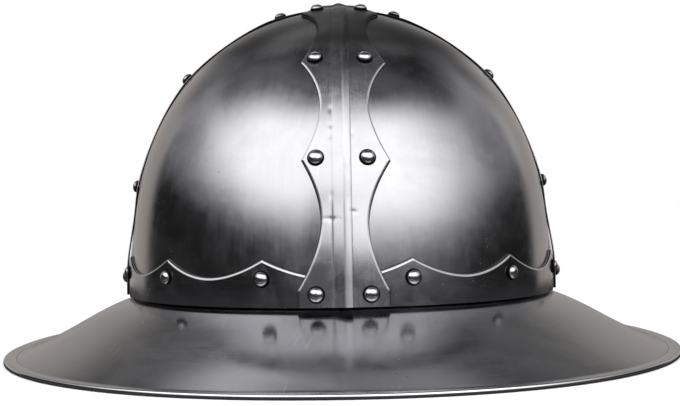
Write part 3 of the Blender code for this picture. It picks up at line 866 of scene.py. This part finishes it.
# a strap from brow to brow: rows along it, columns from edge to edge with the ridge in the middle
def strap(name, way, node):
    half = strapRows(way)
    length = np.concatenate([half, half[:-1][::-1]])[:, None]
    end = np.concatenate([-np.ones(len(half)), np.ones(len(half) - 1)])[:, None]
    wide = strapHalfWidth(way, length)
    drift = outlineDrift(way, end, length)
    lines = edgeLines(straps)
    ridge = straps["ridgeHalfWidth"]
    shares = np.linspace(0, 1, straps["flatColumns"] + 1)[None, 1:] ** straps["flatCrowding"]
    sides = []
    for side in (-1, 1):
        reach = wide + side * drift
        flat = ridge + (reach - lines[-1] - ridge) * shares
        sides.append(side * np.concatenate([flat, (reach - lines[None, :-1])[:, ::-1]], axis=1))
    middle = ridge * np.linspace(-1, 1, straps["ridgeColumns"])[None, :] + 0 * wide
    lateral = np.concatenate([sides[0][:, ::-1], middle, sides[1]], axis=1)
    toSide = np.minimum(wide - drift + lateral, wide + drift - lateral)
    if way == "side":
        lateral = -lateral
        toSide = wide - np.abs(lateral)
    surface = strapSkull(way, end, length, lateral)
    offset = strapOffset(way, length) + ridgeRise(way, length, lateral) - knocked(way, end, length, lateral)
    # dark beads of painted shade and dirt along both edges of the strap
    bead = (strapBead(way, length)[:, 0], strapFloor(way, length)[:, 0])
    along = np.where(end < 0, length, 2 * strapKeys(way)["whole"] - length)
    wrapUv = np.stack([lateral, along + 0 * lateral], axis=-1)
    # the crest's wear with a painted highlight, and painted shade in the creases
    marks = {"crest": crestWearAndSheen(way, length, lateral), "grime": creaseShade(length, lateral)}
    piece = sheetPiece(name, surface, offset, toSide, wrapUv, straps, steels["strap"],
                       beads=(bead, bead), marks=marks)
    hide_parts(node)
    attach(piece, "root")


strap("ridgedStrap_side_to_side", "side", "strap_side_to_side")
strap("ridgedStrap_front_to_back", "front", "strap_front_to_back")
print("straps made")

# Brim

brim = {
    "thickness": 0.0012,
    "rimHalfWidth": 0.17033,
    "rimHalfDepth": 0.18133,
    "rimSquareness": 2.12,      # exponent of the rim's plan
    "collarHeight": 0.0180,     # upright flange inside the plates
    "hemWidth": 0.0063,
    "hemGroove": 0.0003,
    "wave": 0.0009,             # of the cone: up near the skull and down by the hem at the sides
    "waveInFront": 0.55,        # share of that wave in front and behind, the other way up
    "around": 420,
    "coneRows": 40,
    "cornerSteps": 6,
    "wearWidth": 0.0016,
}


# how far the skull's curve leans inwards at a height above the brow line
def skullLean(height):
    rise = (height / skull["rise"]) ** skull["sideFullness"]
    return skull["halfDepth"] * (1 - (1 - rise) ** (1 / skull["crownFullness"]))


# a path with each corner replaced by a curve (1-t)^2 a + 2 t (1-t) corner + t^2 b, where a and b lie
# on the two sides at the corner's radius from it, or at 0.45 of the side's length if that is nearer
def roundedPath(corners, steps):
    spots = np.array([corner[:2] for corner in corners])
    radii = np.array([corner[2] for corner in corners])
    before, after = np.roll(spots, 1, axis=0) - spots, np.roll(spots, -1, axis=0) - spots
    t = np.linspace(0, 1, steps)[:, None]
    path = []
    for spot, back, ahead, radius in zip(spots, before, after, radii):
        if radius == 0:
            path.append(spot[None])
            continue
        a = spot + back / np.linalg.norm(back) * min(radius, np.linalg.norm(back) * 0.45)
        b = spot + ahead / np.linalg.norm(ahead) * min(radius, np.linalg.norm(ahead) * 0.45)
        path.append((1 - t) ** 2 * a + 2 * t * (1 - t) * spot + t ** 2 * b)
    return np.concatenate(path)


# the brim's section as (distance out from the skull, height), from the collar's top round the hem and back;
# each corner is given with the radius of its curve
def brimSection():
    thick, gap = brim["thickness"], skull["sheetGap"]
    reach = brim["rimHalfWidth"] - skull["halfWidth"]
    outer = -plates["thickness"] - gap
    inner = outer - thick
    browTop = skull["brow"] - gap
    hemTop = 2 * thick
    groove = hemTop - brim["hemGroove"]
    hemStart = reach - brim["hemWidth"]
    slope = (browTop - groove) / (hemStart - outer)
    under = thick * math.hypot(1, slope)
    tall = np.linspace(1, 0, 9)[:-1] * brim["collarHeight"]
    cone = np.linspace(0, 1, brim["coneRows"])[1:-1]
    corners = [(outer - skullLean(h), skull["brow"] + h, 0) for h in tall[1:]]
    corners = [(outer - skullLean(tall[0]), skull["brow"] + tall[0], 0.0003)] + corners
    corners.append((outer, browTop, 0.0004))
    corners += [(outer + (hemStart - outer) * c, browTop + (groove - browTop) * c, 0) for c in cone]
    corners += [    # down into the groove, over the fold, round the rim and back under the cone
        (hemStart, groove, 0.0001),
        (hemStart + 0.00018, groove - 0.00045, 0.00015),
        (hemStart + 0.0005, hemTop - 0.0001, 0.00025),
        (reach - 0.0024, hemTop, 0.0010),
        (reach - 0.00035, hemTop - 0.00025, 0.0006),
        (reach, thick, 0.0006),
        (reach - 0.0002, 0.0, 0.0008),
        (hemStart + thick, 0.0, 0.0006),
        (hemStart - thick / 2, groove + slope * thick / 2 - under, 0.0006),
    ]
    lower = browTop - under
    corners += [(inner + (hemStart - inner) * c, lower + (groove - browTop) * c, 0) for c in cone[::-1][1:]]
    corners.append((inner, lower, 0.0012))
    corners += [(inner - skullLean(h), skull["brow"] + h, 0) for h in tall[1:][::-1]]
    corners.append((inner - skullLean(tall[0]), skull["brow"] + tall[0], 0.0003))
    return roundedPath(corners, brim["cornerSteps"])


# the section carried round: out to the cone's end the plan blends from the skull's ellipse to the rim's,
# |x / rimHalfWidth|^squareness + |y / rimHalfDepth|^squareness = 1, and past it keeps the rim's; the cone is
# raised by wave sin(2 pi way) (across^2 - waveInFront ahead^2), with way from 0 at the skull to 1 at the hem
def brimPiece():
    section = brimSection()
    reach = brim["rimHalfWidth"] - skull["halfWidth"]
    coneStart = -plates["thickness"] - skull["sheetGap"]
    coneEnd = reach - brim["hemWidth"]
    out, height = section[None, :, 0], section[None, :, 1]
    way = np.clip((out - coneStart) / (coneEnd - coneStart), 0, 1)
    distance = out - way * reach
    turn = np.linspace(0, 2 * np.pi, brim["around"] + 1)[:-1, None] + np.pi
    across, ahead = np.sin(turn), -np.cos(turn)
    power = 2 / brim["rimSquareness"]
    rimX = np.sign(across) * np.abs(across) ** power * brim["rimHalfWidth"]
    rimY = np.sign(ahead) * np.abs(ahead) ** power * brim["rimHalfDepth"]
    wave = brim["wave"] * np.sin(2 * np.pi * way)
    points = np.stack([
        (skull["halfWidth"] * (1 - way) + distance) * across + rimX * way,
        (skull["halfDepth"] * (1 - way) + distance) * ahead + rimY * way,
        height + wave * (across ** 2 - brim["waveInFront"] * ahead ** 2),
    ], axis=-1)
    rows, columns = points.shape[:2]
    index = gridIndex(rows, columns)
    ring = np.hstack([index, index[:, :1]])
    ring = np.vstack([ring, ring[:1]])
    steps = np.linalg.norm(np.diff(section, axis=0, append=section[:1]), axis=1)
    walked = np.concatenate([[0], np.cumsum(steps)])
    around = np.linspace(0, 2 * np.pi, rows + 1) * brim["rimHalfWidth"]
    corners = gridUv(np.stack(np.meshgrid(walked, around), axis=-1))
    toRim = np.clip(1 - (reach - section[:, 0]) / brim["wearWidth"], 0, 1)
    edge = np.broadcast_to(toRim[None], (rows, columns)).ravel()
    quads = gridQuads(ring)
    piece = newPiece("foldedHemBrim", points.reshape(-1, 3), quads, corners, {"edge": edge}, steels["brim"])
    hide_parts("brim")
    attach(piece, "root")


brimPiece()
print("brim made")

# Rivets

rivets = {
    "headRadius": 0.0032,
    "headHeight": 0.0023,       # of the dome above its rim
    "domePowers": (0.9, 1.05),  # exponents of its radius and height
    "rimHeight": 0.0004,
    "undercut": 0.0002,         # how far the rim draws in under the dome
    "ringRadius": 0.00375,      # of the dark ring of painted shade and dirt the head sits in
    "grimeShares": (0.84, 0.98),    # of the head's radius, between which the painted shade and dirt creep onto the dome
    "ringHeight": 0.00012,
    "shankRadius": 0.0016,
    "tailRadius": 0.0023,       # the peened end inside
    "tailHeight": 0.0009,
    "tailSide": 0.35,           # share of that height that stands straight
    "chamfer": 0.0001,
    "sink": 0.0002,             # of the ring's underside into the strap
    "segments": 32,
    "domeSteps": 12,
    "sharpDegrees": 50,         # edges that turn by more are drawn sharp
    "lean": 0.035,              # radians, two standard deviations of how far a head sits off square
    "seed": 7,
}


# each rivet's CAD name, its point on the skull, and how much sheet lies above and below the skull's face
def rivetPlaces():
    thick, gap = plates["thickness"], skull["sheetGap"]
    withCollar = thick + gap + brim["thickness"]
    places = []
    for way, ends in (("front", {"front": -1, "rear": 1}), ("side", {"left": -1, "right": 1})):
        keys = strapKeys(way)
        levels = [("foot", straps["footRivets"][way], withCollar)]
        for name, point, lead in zip(("lower", "upper", "crown"), keys["points"], straps["rivetLeads"]):
            levels.append((name, point + lead, thick))
        across = ("left", "right") if way == "front" else ("front", "rear")
        for endName, end in ends.items():
            for offset, (level, length, below) in zip(straps["rivetOffsets"], levels):
                above = float(strapOffset(way, np.array(length))) + straps["thickness"]
                for name, side in zip(across, (-1, 1)):
                    point = strapSkull(way, end, length, side * offset)
                    places.append((f"{endName}_{level}_{name}", point, above, below))
    for number, turn in enumerate(bandPoints(), 1):
        point = skullAt(turn, band["rivetHeight"])
        places.append((f"band_{number:02d}", point, skull["sheetGap"] + band["thickness"], withCollar))
    return places


# the turned profile: a dome radius = headRadius sin^p t, height = headHeight cos^q t with the domePowers
# p and q, a rim drawn in under it, the ring of painted shade and dirt, the shank hidden in the sheets and a
# peened tail
def rivetProfile(above, below):
    radius, sunk = rivets["headRadius"], above - rivets["sink"]
    t = np.linspace(0, np.pi / 2, rivets["domeSteps"])[1:]
    domeFoot = above + rivets["rimHeight"]
    out, up = rivets["domePowers"]
    dome = np.stack([radius * np.sin(t) ** out,
                     domeFoot + rivets["headHeight"] * np.clip(np.cos(t), 0, None) ** up], axis=-1)
    ringTop, tail, chamfer = above + rivets["ringHeight"], -below, rivets["chamfer"]
    side = rivets["tailSide"]
    shank = np.array([
        (radius - rivets["undercut"], ringTop),
        (rivets["ringRadius"] - chamfer, ringTop),
        (rivets["ringRadius"], ringTop - chamfer),
        (rivets["ringRadius"], sunk),
        (rivets["shankRadius"], sunk),
        (rivets["shankRadius"], tail + chamfer),
        (rivets["tailRadius"], tail + chamfer),
        (rivets["tailRadius"], tail - rivets["tailHeight"] * side),
    ])
    s = np.linspace(0, np.pi / 2, 6)[1:-1]
    peen = np.stack([rivets["tailRadius"] * np.cos(s),
                     tail - rivets["tailHeight"] * (side + (1 - side) * np.sin(s))], axis=-1)
    grime = np.zeros(len(dome) + len(shank) + len(peen))
    # painted shade and dirt on the dome's foot and the ring round it
    grime[:len(dome)] = smoothRamp(dome[:, 0] / radius, *rivets["grimeShares"])
    grime[len(dome):len(dome) + 4] = 1
    top, bottom = domeFoot + rivets["headHeight"], tail - rivets["tailHeight"]
    return np.concatenate([dome, shank, peen]), grime, top, bottom


# the profile turned about Z, then set on the skull with Z along the skull's normal, leaning a little
def rivet(name, point, above, below, draw):
    profile, grime, top, bottom = rivetProfile(above, below)
    turn = np.linspace(0, 2 * np.pi, rivets["segments"] + 1)[:-1] + draw.uniform(0, 1)
    rings = np.stack([
        profile[:, None, 0] * np.cos(turn), profile[:, None, 0] * np.sin(turn),
        profile[:, None, 1] + 0 * turn], axis=-1)
    steps, segments = rings.shape[:2]
    local = np.concatenate([rings.reshape(-1, 3), [(0, 0, top), (0, 0, bottom)]])
    first, last = np.full((1, segments), steps * segments), np.full((1, segments), steps * segments + 1)
    index = np.vstack([first, gridIndex(steps, segments), last])
    index = np.hstack([index, index[:, :1]])
    out = skullNormal(point)
    level = unit(np.cross((0.0, 0.0, 1.0), out))
    up = np.cross(out, level)
    tilt = draw.normal(size=2) * rivets["lean"] / 2
    leaning = unit(out + level * tilt[0] + up * tilt[1])
    level = unit(np.cross(up, leaning))
    points = point + local @ np.stack([level, np.cross(leaning, level), leaning])
    uv = np.stack([local[:, 0], local[:, 1]], axis=-1)
    quads = gridQuads(index)
    layers = {"edge": np.zeros(len(points)), "grime": np.append(np.repeat(grime, segments), (0, 0))}
    piece = newPiece("domedRivet_" + name, points, quads, uv[quads], layers, steels["rivet"],
                     rivets["sharpDegrees"])
    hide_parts("rivet_" + name)
    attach(piece, "root")


draw = np.random.default_rng(rivets["seed"])
places = rivetPlaces()
for name, point, above, below in places:
    rivet(name, point, above, below, draw)
print("rivets made:", len(places))

# Studio

studio = {
    "floorRadius": 0.62,
    "floorDrop": 0.00002,                   # of the floor below the hat's hem
    "floorColour": (0.93, 0.93, 0.93),
    "floorRoughness": 0.8,
    "floorGloss": 0.1,
    "floorInSteel": (0.04, 0.04, 0.042),    # the floor as the polished steel shows it
    "skyForCamera": 1.0,
    "darkRoom": 0.02,
    "frontBox": 2.15,
    "boxSides": ((-85, 37), (73, 35)),      # azimuth and softness of its left and right ends
    "boxBottom": (10.3, 0.0009, 33),        # its lower edge: elevation, bend, azimuth of the lowest point
    "boxTop": (60, -0.0012, -10),           # its upper edge, the same way, bent down
    "boxNotch": (-9, 9.5, 5.5, 6),          # notch in the lower edge: azimuth, half width, softness, height
    "boxSoftness": 11,                      # degrees either side of the two edges
    "floorLight": 17.0,
    "lampSize": 2.4,
    "lampHeight": 1.4,
}

# the other soft lights of the room: middle azimuth, half width, softness of the ends, lowest and highest
# elevation, softness of those edges, strength, colour
softLights = (
    (180, 122, 14, 30, 50, 10, 0.15, (0.98, 0.98, 1.00)),     # glow round the sides and back
    (180, 51, 4, -14, 28, 9, 0.42, (1.00, 0.93, 0.87)),       # pale wall behind
    (180, 13, 8, 14, 36, 8, 0.25, (1.00, 0.99, 0.98)),        # narrow box behind
    (-163, 17, 3, 49, 63, 4, 0.90, (0.98, 0.98, 1.00)),       # panel behind, high on the left
    (163, 20, 8, 54, 66, 5, 0.50, (0.98, 0.98, 1.00)),        # panel behind, high on the right
    (-104, 27, 8, 17, 42, 5, 0.28, (0.97, 0.97, 1.00)),       # pale side, left
    (108, 27, 8, 13, 42, 5, 0.28, (0.97, 0.97, 1.00)),        # pale side, right
    (-92, 38, 14, 50, 72, 7, 0.16, (0.98, 0.98, 1.00)),       # high on the left
    (75, 25, 12, 52, 72, 7, 0.10, (0.98, 0.98, 1.00)),        # high on the right
    (20, 46, 16, -14, 14, 8, 0.11, (0.98, 0.98, 1.00)),       # light that creeps in low from the front
    (0, 100, 40, 70, 95, 8, 0.12, (0.98, 0.98, 1.00)),        # overhead
)


# a round floor of rings, flat at the height the hat stands on, pale to the eye and dim in the steel
def floor():
    turn = np.linspace(0, 2 * np.pi, 97)[:-1]
    radii = np.linspace(0, studio["floorRadius"], 9)[1:, None]
    height = -studio["floorDrop"]
    rings = np.stack([radii * np.cos(turn), radii * np.sin(turn), 0 * radii * turn + height], axis=-1)
    points = np.concatenate([rings.reshape(-1, 3), [(0, 0, height)]])
    index = np.vstack([np.full((1, rings.shape[1]), len(points) - 1), gridIndex(*rings.shape[:2])])
    quads = gridQuads(np.hstack([index, index[:, :1]]))
    mesh = bpy.data.meshes.new("paleFloor")
    mesh.from_pydata(points.tolist(), [], [list(dict.fromkeys(quad)) for quad in quads.tolist()])
    mesh.update()
    material = bpy.data.materials.new("paleFloor")
    material.use_nodes = True
    tree = material.node_tree
    pale = tree.nodes["Principled BSDF"]
    feed(tree, pale.inputs["Base Color"], studio["floorColour"])
    feed(tree, pale.inputs["Roughness"], studio["floorRoughness"])
    feed(tree, pale.inputs["Specular IOR Level"], studio["floorGloss"])
    dim = newNode(tree, "BsdfDiffuse", {"Color": studio["floorInSteel"]})
    inSteel = newNode(tree, "LightPath").outputs["Is Glossy Ray"]
    choose = newNode(tree, "MixShader", {0: inSteel, 1: pale.outputs[0], 2: dim.outputs[0]})
    feed(tree, tree.nodes["Material Output"].inputs["Surface"], choose.outputs[0])
    mesh.materials.append(material)
    ground = bpy.data.objects.new("paleFloor", mesh)
    bpy.context.scene.collection.objects.link(ground)


# the room: plain white behind the hat, and for reflections a wide soft box in front and above with curved
# edges, elevation = edge + bend (azimuth - middle)^2, and the list of soft lights, all by direction
def room():
    world = bpy.data.worlds.new("studioRoom")
    world.use_nodes = True
    bpy.context.scene.world = world
    tree = world.node_tree
    tree.nodes.clear()
    direction = newNode(tree, "TexCoord").outputs["Generated"]
    x, y, z = newNode(tree, "SeparateXYZ", {0: direction}).outputs
    degrees = 180 / math.pi
    elevation = productOf(tree, calc(tree, "ARCSINE", z), degrees)
    azimuth = productOf(tree, calc(tree, "ARCTAN2", x, productOf(tree, y, -1.0)), degrees)

    # from 0 to 1 across a soft edge, and the other way
    def rise(value, edge, softness):
        return between(tree, value, edge - softness, edge + softness)

    def fall(value, edge, softness):
        return calc(tree, "SUBTRACT", 1.0, rise(value, edge, softness))

    # degrees of azimuth from a direction, and of elevation above a bent edge
    def away(middle):
        return calc(tree, "SUBTRACT", azimuth, middle)

    def bent(edge, bend, middle):
        return calc(tree, "SUBTRACT", elevation, sumOf(tree, edge, (away(middle), away(middle), bend)))

    left, right = studio["boxSides"]
    middle, halfWidth, endSoftness, tall = studio["boxNotch"]
    notch = productOf(tree, fall(calc(tree, "ABSOLUTE", away(middle)), halfWidth, endSoftness), tall)
    low = rise(calc(tree, "SUBTRACT", bent(*studio["boxBottom"]), notch), 0, studio["boxSoftness"])
    high = fall(bent(*studio["boxTop"]), 0, studio["boxSoftness"])
    box = productOf(tree, rise(azimuth, *left), fall(azimuth, *right), low, high, studio["frontBox"])
    total = [sumOf(tree, box, studio["darkRoom"])] * 3
    for middle, halfWidth, endSoftness, lowest, highest, edgeSoftness, strength, colour in softLights:
        wrapped = calc(tree, "FLOORED_MODULO", sumOf(tree, away(middle), 180.0), 360.0)
        across = fall(calc(tree, "ABSOLUTE", calc(tree, "SUBTRACT", wrapped, 180.0)), halfWidth, endSoftness)
        light = productOf(
            tree, across, rise(elevation, lowest, edgeSoftness), fall(elevation, highest, edgeSoftness))
        total = [sumOf(tree, so, (light, strength * share)) for so, share in zip(total, colour)]
    joined = newNode(tree, "CombineColor", dict(enumerate(total))).outputs[0]
    seen = newNode(tree, "Background", {"Color": (1, 1, 1), "Strength": studio["skyForCamera"]})
    lit = newNode(tree, "Background", {"Color": joined})
    eye = newNode(tree, "LightPath").outputs["Is Camera Ray"]
    choose = newNode(tree, "MixShader", {0: eye, 1: lit.outputs[0], 2: seen.outputs[0]})
    newNode(tree, "OutputWorld", {0: choose.outputs[0]})


# a wide lamp overhead that reflections leave out, so the ground stays pale
def floorLamp():
    light = bpy.data.lights.new("floorLamp", "AREA")
    light.shape = "DISK"
    light.size = studio["lampSize"]
    light.energy = studio["floorLight"]
    lamp = bpy.data.objects.new("floorLamp", light)
    lamp.location = (0, 0, studio["lampHeight"])
    lamp.visible_glossy = False
    bpy.context.scene.collection.objects.link(lamp)


view = {
    "distance": 0.558,          # of the camera in front of the hat's middle
    "height": 0.0645,
    "lens": 55.06,
    "sensor": 36,
    "rollDegrees": -0.95,
    "shiftX": -0.0007,          # shares of the picture's width
    "shiftY": 0.0284,
}


# looks level along +Y, with the frame moved up by its shift
def camera():
    data = bpy.data.cameras.new("studioCamera")
    data.lens = view["lens"]
    data.sensor_width = view["sensor"]
    data.shift_x = view["shiftX"]
    data.shift_y = view["shiftY"]
    data.clip_start = 0.01
    eye = bpy.data.objects.new("studioCamera", data)
    eye.location = (0, -view["distance"], view["height"])
    eye.rotation_euler = (math.pi / 2, math.radians(-view["rollDegrees"]), 0)
    bpy.context.scene.collection.objects.link(eye)
    bpy.context.scene.camera = eye


floor()
room()
floorLamp()
camera()
bpy.context.scene.view_settings.view_transform = "Standard"
print("studio set")
